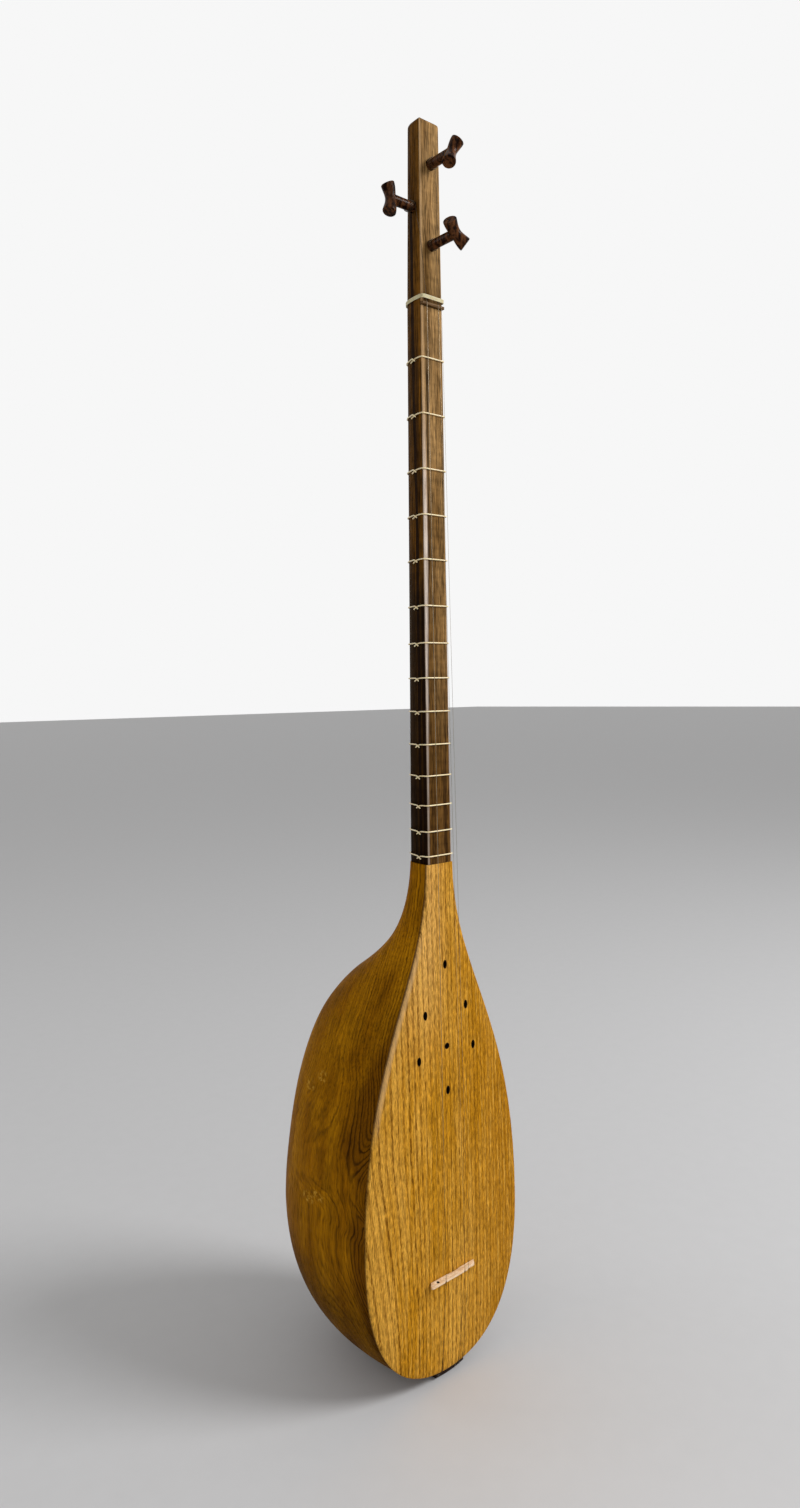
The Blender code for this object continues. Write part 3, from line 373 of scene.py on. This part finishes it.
def neckMaterial():
    look = neckLook
    material, tree, shader = newMaterial("neckWood")
    x, y, z = placeInMm(tree)
    place = (x, y, z)
    behind = plus(tree, y, -look["front"])
    half, corner = betweenHeights(tree, z, 1), betweenHeights(tree, z, 2)
    out = calculate(tree, "DIVIDE", plus(tree, calculate(tree, "ABSOLUTE", x), calculate(tree, "SUBTRACT", corner, half)), corner)
    near = calculate(tree, "SUBTRACT", 1.0, calculate(tree, "DIVIDE", behind, corner))
    onCorner = fade(tree, calculate(tree, "MINIMUM", out, near), -0.10, 0.40)
    onSide = fade(tree, calculate(tree, "DIVIDE", behind, corner), 0.75, 1.15)
    across = plus(tree, x, times(tree, y, 0.35))
    across = plus(tree, across, sway(tree, place, (26, 26, 200), 3.4))
    across = plus(tree, across, sway(tree, place, (6, 6, 40), 0.5))
    ring = times(tree, across, 1.0 / look["streakWide"])
    ring = plus(tree, ring, sway(tree, (ring, 0.0, 0.0), (0.9, 1, 1), 1.1))
    band = curveOf(tree, calculate(tree, "FRACT", ring), [(0.0, 0.6), (0.10, 0.0), (0.50, 0.15), (0.86, 1.0), (1.0, 0.6)])
    own = addNode(tree, "ShaderNodeTexWhiteNoise", {"W": calculate(tree, "FLOOR", ring)}, noise_dimensions="1D")
    band = times(tree, band, plus(tree, times(tree, own.outputs["Value"], 0.8), 0.2))
    pores = curveOf(tree, noiseAt(tree, place, (0.9, 0.9, 11.0)), [(0.48, 0.0), (0.62, 1.0)])
    fibre = noiseAt(tree, place, (0.4, 0.4, 36), 3.0, 0.6)
    broad = noiseAt(tree, place, (9, 9, 110), 3.0, 0.55)
    colour = mixed(tree, fade(tree, broad, 0.36, 0.66), look["ground"], look["pale"])
    height = times(tree, z, 0.001)
    colour = mixed(tree, curveOf(tree, height, look["darkness"]), colour, look["low"])
    # painted shade: the sides are darker than the front, darkest towards the back, low on the neck and at the top of
    # the head
    side = mixed(tree, fade(tree, z, 530, 590), look["side"], look["shadedSideUp"])
    side = brightened(tree, side, fade(tree, behind, 11.5, 8.0), 0.55, 1.0)
    side = brightened(tree, side, fade(tree, z, 800, 730), 0.80, 1.0)
    colour = mixed(tree, times(tree, onSide, 0.92), colour, side)
    # a black line runs down the left side, and low on the neck a wide dark band lies before it
    streakAt = plus(tree, times(tree, fade(tree, z, 590, 710), look["streakFurther"]), look["streakBehind"])
    fromStreak = calculate(tree, "SUBTRACT", plus(tree, behind, sway(tree, place, (12, 12, 60), 0.9)), streakAt)
    narrowLine = fade(tree, calculate(tree, "ABSOLUTE", fromStreak), 2.1, 1.1)
    lowBand = times(tree, times(tree, fade(tree, behind, 0.6, 1.1), fade(tree, behind, 4.2, 2.8)), fade(tree, z, 560, 520))
    black = calculate(tree, "MAXIMUM", narrowLine, lowBand)
    black = times(tree, black, times(tree, fade(tree, x, 2.0, -2.0), fade(tree, z, 830, 780)))
    colour = mixed(tree, times(tree, black, 0.95), colour, look["line"])
    wide = curveOf(tree, noiseAt(tree, place, (3.6, 3.6, 220), 1.0), [(0.52, 0.0), (0.62, 1.0)])
    colour = mixed(tree, times(tree, wide, times(tree, fade(tree, z, 745, 690), 0.60)), colour, look["line"])
    lines = times(tree, band, plus(tree, times(tree, pores, 0.4), 0.6))
    colour = mixed(tree, times(tree, lines, 0.88), colour, look["line"])
    colour = mixed(tree, times(tree, pores, 0.55), colour, look["line"])
    curl = noiseAt(tree, place, (16, 16, 4.0), 1.0)
    colour = brightened(tree, colour, curl, 0.84, 1.22)
    bright = noiseAt(tree, place, (1.4, 1.4, 50), 2.0)
    colour = brightened(tree, colour, bright, 0.64, 1.55)
    strength = plus(tree, times(tree, fade(tree, z, 400, 560), 0.45), 0.35)
    # painted highlight along the eased front corners, stronger higher up
    cornerHighlight = times(tree, onCorner, plus(tree, times(tree, noiseAt(tree, place, (1.0, 1.0, 14.0), 3.0), 0.8), 0.4))
    cornerHighlight = times(tree, cornerHighlight, fade(tree, behind, 0.9, 0.3))
    worn = mixed(tree, fade(tree, z, 600, 690), look["worn"], look["paintedLightUp"])
    colour = mixed(tree, times(tree, cornerHighlight, strength), colour, worn)
    # painted highlight: the left corner is painted pale over a wider strip of the front, widest in the middle of the
    # neck
    inside = plus(tree, x, plus(tree, half, times(tree, sway(tree, place, (8, 8, 30), 0.5), -1.0)))
    strip = calculate(tree, "SUBTRACT", curveOf(tree, height, look["stripWide"]), times(tree, inside, 0.1))
    strip = times(tree, fade(tree, strip, -0.04, 0.16), fade(tree, inside, 0.2, 0.9))
    stripNoise = noiseAt(tree, place, (0.8, 0.8, 16.0), 3.0, 0.6)
    strip = times(tree, strip, plus(tree, times(tree, fade(tree, stripNoise, 0.35, 0.62), 0.50), 0.55))
    strip = times(tree, strip, fade(tree, behind, 0.9, 0.4))
    strip = times(tree, strip, curveOf(tree, height, look["stripDepth"]))
    colour = mixed(tree, strip, colour, worn)
    colour = brightened(tree, colour, fibre, 0.84, 1.16)
    finishWood(tree, shader, look, colour, times(tree, pores, 0.7), fibre)
    return material


# Pegs, nut, tailpiece and bridge: small pieces of close-grained wood

pegLook = {
    "ground": (0.008, 0.002, 0.001), "pale": (0.130, 0.048, 0.016), "line": (0.004, 0.001, 0.001),
    "grain": (0.6, 0.6, 6.0), "figure": (2.6, 2.6, 9.0), "lineDepth": 0.6,
    "gloss": 0.12, "poreRough": 0.12, "shine": 0.045, "relief": 0.00003,
}
nutLook = {
    "ground": (0.100, 0.050, 0.015), "pale": (0.190, 0.102, 0.034), "line": (0.018, 0.008, 0.003),
    "grain": (5.0, 0.5, 0.4), "figure": (12.0, 2.0, 0.9), "lineDepth": 0.75,
    "gloss": 0.40, "poreRough": 0.20, "shine": 0.06, "relief": 0.00005,
}
# tailpiece: dark wood made near black, partly painted shade, so it reads as the dark band with its shadow under the
# soundboard's tail
tailLook = {
    "ground": (0.010, 0.005, 0.004), "pale": (0.024, 0.012, 0.008), "line": (0.005, 0.003, 0.002),
    "grain": (6.0, 0.6, 0.6), "figure": (16.0, 3.0, 3.0), "lineDepth": 0.6,
    "gloss": 0.42, "poreRough": 0.20, "shine": 0.06, "relief": 0.00008,
}
bridgeLook = {
    "ground": (0.760, 0.520, 0.300), "pale": (0.900, 0.700, 0.490), "line": (0.480, 0.260, 0.180),
    "grain": (1.8, 0.5, 0.40), "figure": (3.0, 1.6, 1.4), "lineDepth": 0.45,
    # painted shade in and around the bridge's hole
    "hole": (-12.9, -19.56, 0.9), "burnt": (0.020, 0.011, 0.007),
    "gloss": 0.50, "poreRough": 0.15, "shine": 0.25, "relief": 0.00004,
}


def smallWoodMaterial(name, look):
    material, tree, shader = newMaterial(name)
    place = placeInMm(tree)
    grain = noiseAt(tree, place, look["grain"], 3.0, 0.6)
    figure = noiseAt(tree, place, look["figure"], 3.0, 0.55, 0.4)
    pores = curveOf(tree, grain, [(0.50, 0.0), (0.68, 1.0)])
    colour = mixed(tree, fade(tree, figure, 0.36, 0.66), look["ground"], look["pale"])
    colour = mixed(tree, times(tree, pores, look["lineDepth"]), colour, look["line"])
    colour = brightened(tree, colour, noiseAt(tree, place, tuple(4 * grain for grain in look["grain"])), 0.85, 1.15)
    # painted shade: the hole and its rim are made near black
    if "hole" in look:
        dx, dy = plus(tree, place[0], -look["hole"][0]), plus(tree, place[1], -look["hole"][1])
        away = calculate(tree, "SQRT", plus(tree, times(tree, dx, dx), times(tree, dy, dy)))
        away = plus(tree, away, -look["hole"][2])
        colour = mixed(tree, fade(tree, away, 0.35, 0.05), colour, look["burnt"])
    finishWood(tree, shader, look, colour, times(tree, pores, 0.6), grain)
    return material


# Gut and steel

gutLook = {"ground": (0.950, 0.800, 0.500), "aged": (0.890, 0.700, 0.370), "gloss": 0.36}
bindingGutLook = {"ground": (0.660, 0.590, 0.350), "aged": (0.580, 0.490, 0.270), "gloss": 0.40}
stringLook = {"bright": (0.340, 0.275, 0.190), "dark": (0.060, 0.040, 0.024), "gloss": 0.34, "brightSpan": (110, 300, 725, 745)}
pinLook = {"bright": (0.120, 0.100, 0.080), "dark": (0.050, 0.040, 0.032), "gloss": 0.30, "brightSpan": (-20, 20, 30, 40)}


def gutMaterial(name, look):
    material, tree, shader = newMaterial(name)
    place = placeInMm(tree)
    tone = noiseAt(tree, place, (3.0, 3.0, 2.0), 3.0)
    strand = noiseAt(tree, place, (1.6, 1.6, 0.16), 2.0)
    colour = mixed(tree, fade(tree, tone, 0.40, 0.75), look["ground"], look["aged"])
    colour = brightened(tree, colour, strand, 0.86, 1.10)
    tree.links.new(colour, shader.inputs["Base Color"])
    tree.links.new(plus(tree, times(tree, strand, 0.2), look["gloss"] - 0.1), shader.inputs["Roughness"])
    shader.inputs["Subsurface Weight"].default_value = 0.12
    shader.inputs["Subsurface Radius"].default_value = (0.0010, 0.0006, 0.0003)
    bumpFrom(tree, shader, strand, 0.00004, 0.6)
    return material


def wireMaterial(name, look):
    material, tree, shader = newMaterial(name)
    shader.inputs["Metallic"].default_value = 1.0
    place = placeInMm(tree)
    tarnish = noiseAt(tree, place, (1.5, 1.5, 12.0), 3.0)
    drawn = noiseAt(tree, place, (0.05, 0.05, 3.0), 2.0)
    # painted shade: the wire is dark where it is wound or looped at the head and tail, and bright along the neck;
    # tarnish adds darker patches
    low, lowEnd, highEnd, high = look["brightSpan"]
    brightSpan = times(tree, fade(tree, place[2], low, lowEnd), fade(tree, place[2], high, highEnd))
    worn = calculate(tree, "SUBTRACT", 1.0, brightSpan)
    worn = calculate(tree, "MAXIMUM", worn, times(tree, fade(tree, tarnish, 0.35, 0.65), 0.5))
    colour = mixed(tree, worn, look["bright"], look["dark"])
    tree.links.new(colour, shader.inputs["Base Color"])
    tree.links.new(plus(tree, times(tree, tarnish, 0.2), look["gloss"] - 0.1), shader.inputs["Roughness"])
    bumpFrom(tree, shader, drawn, 0.000010, 0.5)
    return material


finishes = {
    "bowl_wood": bowlMaterial(),
    "board_wood": boardMaterial(),
    "neck_wood": neckMaterial(),
    "nut_wood": smallWoodMaterial("nutWood", nutLook),
    "bridge_wood": smallWoodMaterial("bridgeWood", bridgeLook),
    "tail_wood": smallWoodMaterial("tailWood", tailLook),
    "peg_wood": smallWoodMaterial("pegWood", pegLook),
    "gut": gutMaterial("driedGut", gutLook),
    "string_steel": wireMaterial("stringSteel", stringLook),
    "pin_steel": wireMaterial("pinSteel", pinLook),
}
for name, node in nodes.items():
    node.data.materials.clear()
    node.data.materials.append(finishes[slotOf[name]])
print("finishes set:", len(finishes))


# Small helpers for pieces

def activate(piece):
    bpy.ops.object.select_all(action="DESELECT")
    piece.select_set(True)
    bpy.context.view_layer.objects.active = piece


def applied(piece, kind, **settings):
    activate(piece)
    bpy.ops.object.modifier_add(type=kind)
    modifier = piece.modifiers[-1]
    for key, value in settings.items():
        setattr(modifier, key, value)
    bpy.ops.object.modifier_apply(modifier=modifier.name)


def mergedCopy(nodeName, name):
    # The node's own form as a new piece, with its loose triangles joined
    piece = bpy.data.objects.new(name, nodes[nodeName].data.copy())
    bpy.context.scene.collection.objects.link(piece)
    activate(piece)
    bpy.ops.object.mode_set(mode="EDIT")
    bpy.ops.mesh.select_all(action="SELECT")
    bpy.ops.mesh.remove_doubles(threshold=1e-6)
    bpy.ops.mesh.tris_convert_to_quads(face_threshold=math.radians(25), shape_threshold=math.radians(60))
    bpy.ops.object.mode_set(mode="OBJECT")
    return piece


def keepSharp(piece, angle):
    activate(piece)
    bpy.ops.object.mode_set(mode="EDIT")
    bpy.ops.mesh.select_mode(type="EDGE")
    bpy.ops.mesh.select_all(action="DESELECT")
    bpy.ops.mesh.edges_select_sharp(sharpness=math.radians(angle))
    bpy.ops.transform.edge_crease(value=1.0)
    bpy.ops.object.mode_set(mode="OBJECT")


def standFor(piece, nodeName):
    activate(piece)
    bpy.ops.object.shade_smooth_by_angle(angle=math.radians(35))
    piece.data.materials.clear()
    piece.data.materials.append(finishes[slotOf[nodeName]])
    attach(piece, bodyOf[nodeName])
    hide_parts(nodeName)


# Wooden body pieces: the CAD forms made smooth, with their sharp edges kept

bodyLook = {
    "bowl": {"name": "carvedBowl", "levels": 2, "sharp": 40, "ease": 0.0},
    "soundboard": {"name": "domedBoard", "levels": 0, "sharp": 40, "ease": 0.0},
    "neck": {"name": "longNeck", "levels": 0, "sharp": 40, "ease": 0.0},
    "nut": {"name": "crossNut", "levels": 1, "sharp": 60, "ease": 0.0},
    "bridge": {"name": "lowBridge", "levels": 0, "sharp": 40, "ease": 0.00018},
    "tailpiece": {"name": "tailBlock", "levels": 0, "sharp": 40, "ease": 0.00030},
}


def makeBody():
    for nodeName, look in bodyLook.items():
        piece = mergedCopy(nodeName, look["name"])
        if look["levels"]:
            keepSharp(piece, look["sharp"])
            applied(piece, "SUBSURF", levels=look["levels"], render_levels=look["levels"])
        if look["ease"]:
            applied(piece, "BEVEL", width=look["ease"], segments=2, angle_limit=math.radians(look["sharp"]))
        standFor(piece, nodeName)


makeBody()
print("body pieces made:", len(bodyLook))


# Pegs: each one turned and carved from a single piece, so the bar runs into the shaft in a soft hollow

pegShape = {"voxel": 0.00022, "rounds": 4, "factor": 0.5}


def makePegs():
    for number in (1, 2, 3):
        piece = mergedCopy(f"peg_{number}", f"turnedPeg{number}")
        applied(piece, "REMESH", mode="VOXEL", voxel_size=pegShape["voxel"])
        applied(piece, "SMOOTH", iterations=pegShape["rounds"], factor=pegShape["factor"])
        standFor(piece, f"peg_{number}")


makePegs()
print("pegs made")


# Frets, strings and windings: the CAD routes as round, even tubes

tubeLook = {
    "levels": 2, "sharp": 75, "shrink": 0.167, "fret": 0.00045, "string_1": 0.00016, "string": 0.00010,
    "longEdge": 0.005, "cuts": 40,
}


def divideLongEdges(piece):
    # More rings along the straight stretches, so that the smoothing keeps the bends where they are
    activate(piece)
    bpy.ops.object.mode_set(mode="EDIT")
    bpy.ops.mesh.select_mode(type="EDGE")
    bpy.ops.mesh.select_all(action="DESELECT")
    bpy.ops.object.mode_set(mode="OBJECT")
    for edge in piece.data.edges:
        ends = [piece.data.vertices[i].co for i in edge.vertices]
        edge.select = (ends[0] - ends[1]).length > tubeLook["longEdge"]
    bpy.ops.object.mode_set(mode="EDIT")
    bpy.ops.mesh.subdivide(number_cuts=tubeLook["cuts"])
    bpy.ops.object.mode_set(mode="OBJECT")


def makeTubes():
    strings = [f"string_{number}" for number in (1, 2, 3)]
    pegOfString = {1: 2, 2: 3, 3: 1}
    thickness = {f"fret_{number:02d}": tubeLook["fret"] for number in range(1, 15)}
    thickness.update({name: tubeLook["string_1"] if name == "string_1" else tubeLook["string"] for name in strings})
    for string, peg in pegOfString.items():
        thickness[f"string_winding_{peg}"] = thickness[f"string_{string}"]
    for nodeName, radius in thickness.items():
        parts = nodeName.split("_")
        piece = mergedCopy(nodeName, "round" + "".join(part.capitalize() for part in parts))
        if nodeName in strings:
            divideLongEdges(piece)
        keepSharp(piece, tubeLook["sharp"])
        applied(piece, "SUBSURF", levels=tubeLook["levels"], render_levels=tubeLook["levels"])
        bpy.ops.object.mode_set(mode="EDIT")
        bpy.ops.mesh.select_all(action="SELECT")
        bpy.ops.transform.shrink_fatten(value=tubeLook["shrink"] * radius)
        bpy.ops.object.mode_set(mode="OBJECT")
        standFor(piece, nodeName)


makeTubes()
print("frets, strings and windings made")


# Binding: four tight turns of thin gut over the strings, just above the nut

bindingLook = {
    "thickness": 0.00064, "turns": 4, "low": 0.7389, "steps": 64,
    "half": 0.0093, "depth": 0.0202, "fullness": 0.72, "corner": 0.0009, "front": -0.0145,
    "gap": 0.0003, "overStrings": 0.00186,
}


def neckLoop(offset):
    # One turn round the neck at the nut, from the middle of the back, as (x, y) pairs
    look = bindingLook
    half, depth, full = look["half"] + offset, look["depth"] + offset, look["fullness"]
    right = []
    for i in range(look["steps"] // 4 + 1):
        t = 1 - i / (look["steps"] // 4)
        weights = ((1 - t) ** 3, 3 * (1 - t) ** 2 * t, 3 * (1 - t) * t * t, t ** 3)
        corners = ((half, look["corner"]), (half, depth * full), (half * full, depth), (0.0, depth))
        right.append(tuple(sum(w * c[k] for w, c in zip(weights, corners)) for k in (0, 1)))
    rise = -look["overStrings"]
    right += [(half, -0.2 * look["corner"]), (0.93 * half, 0.75 * rise), (0.78 * half, rise), (0.0, rise)]
    return right + [(-x, y) for x, y in right[-2:0:-1]]


def makeBinding():
    look = bindingLook
    loop = neckLoop(look["gap"] + look["thickness"] / 2)
    curve = bpy.data.curves.new("gutBinding", "CURVE")
    curve.dimensions = "3D"
    curve.bevel_depth = look["thickness"] / 2
    curve.bevel_resolution = 3
    curve.use_fill_caps = True
    spline = curve.splines.new("POLY")
    count = look["turns"] * len(loop)
    spline.points.add(count)
    for i in range(count + 1):
        x, y = loop[i % len(loop)]
        z = look["low"] + 0.96 * look["thickness"] * i / len(loop)
        spline.points[i].co = (x, look["front"] + y, z, 1.0)
    spline.use_smooth = True
    piece = bpy.data.objects.new("gutBinding", curve)
    bpy.context.scene.collection.objects.link(piece)
    activate(piece)
    bpy.ops.object.convert(target="MESH")
    standFor(piece, "nut_binding")
    piece.data.materials[0] = gutMaterial("bindingGut", bindingGutLook)


makeBinding()
print("binding made")


# Floor, backdrop and light

stageLook = {"floorSize": 40.0, "floor": (0.62, 0.62, 0.63), "world": 0.40, "backdrop": 0.93}
lamps = [
    {"name": "windowLight", "place": (1.25, -1.50, 1.75), "aim": (0.0, 0.0, 0.40), "size": 1.1, "power": 44},
    {"name": "nearLight", "place": (-1.30, -1.55, 1.10), "aim": (0.0, 0.0, 0.45), "size": 0.5, "power": 4.5},
    {"name": "rimLight", "place": (-1.10, 1.20, 1.10), "aim": (0.0, 0.05, 0.2), "size": 0.8, "power": 2.5},
]


def makeFloor():
    bpy.ops.mesh.primitive_plane_add(size=stageLook["floorSize"], location=(0, 0, 0))
    floor = bpy.context.active_object
    floor.name = "studioFloor"
    material, tree, shader = newMaterial("paleFloor")
    speck = noiseAt(tree, placeInMm(tree), (16, 16, 16), 4.0)
    colour = mixed(tree, speck, stageLook["floor"], tuple(0.96 * c for c in stageLook["floor"]))
    tree.links.new(colour, shader.inputs["Base Color"])
    shader.inputs["Roughness"].default_value = 0.6
    floor.data.materials.append(material)


def makeWorld():
    world = bpy.data.worlds.new("softRoom")
    bpy.context.scene.world = world
    world.use_nodes = True
    tree = world.node_tree
    output = tree.nodes["World Output"]
    plain = tree.nodes["Background"]
    plain.inputs["Color"].default_value = (1.0, 0.99, 0.97, 1.0)
    plain.inputs["Strength"].default_value = stageLook["world"]
    tone = stageLook["backdrop"]
    seen = addNode(tree, "ShaderNodeBackground", {"Color": (tone, tone, tone, 1.0), "Strength": 1.0})
    path = addNode(tree, "ShaderNodeLightPath")
    direct = calculate(tree, "MAXIMUM", path.outputs["Is Camera Ray"], path.outputs["Is Glossy Ray"])
    direct = calculate(tree, "MAXIMUM", direct, path.outputs["Is Transmission Ray"])
    mix = addNode(tree, "ShaderNodeMixShader", {"Fac": direct})
    tree.links.new(plain.outputs["Background"], mix.inputs[1])
    tree.links.new(seen.outputs["Background"], mix.inputs[2])
    tree.links.new(mix.outputs["Shader"], output.inputs["Surface"])


def makeLamps():
    for lamp in lamps:
        data = bpy.data.lights.new(lamp["name"], "AREA")
        data.shape = "DISK"
        data.size = lamp["size"]
        data.energy = lamp["power"]
        light = bpy.data.objects.new(lamp["name"], data)
        bpy.context.scene.collection.objects.link(light)
        light.location = lamp["place"]
        aim = Vector(lamp["aim"]) - Vector(lamp["place"])
        light.rotation_euler = aim.to_track_quat("-Z", "Y").to_euler()


makeFloor()
makeWorld()
makeLamps()
bpy.context.scene.view_settings.view_transform = "Standard"
print("stage, camera and light set")
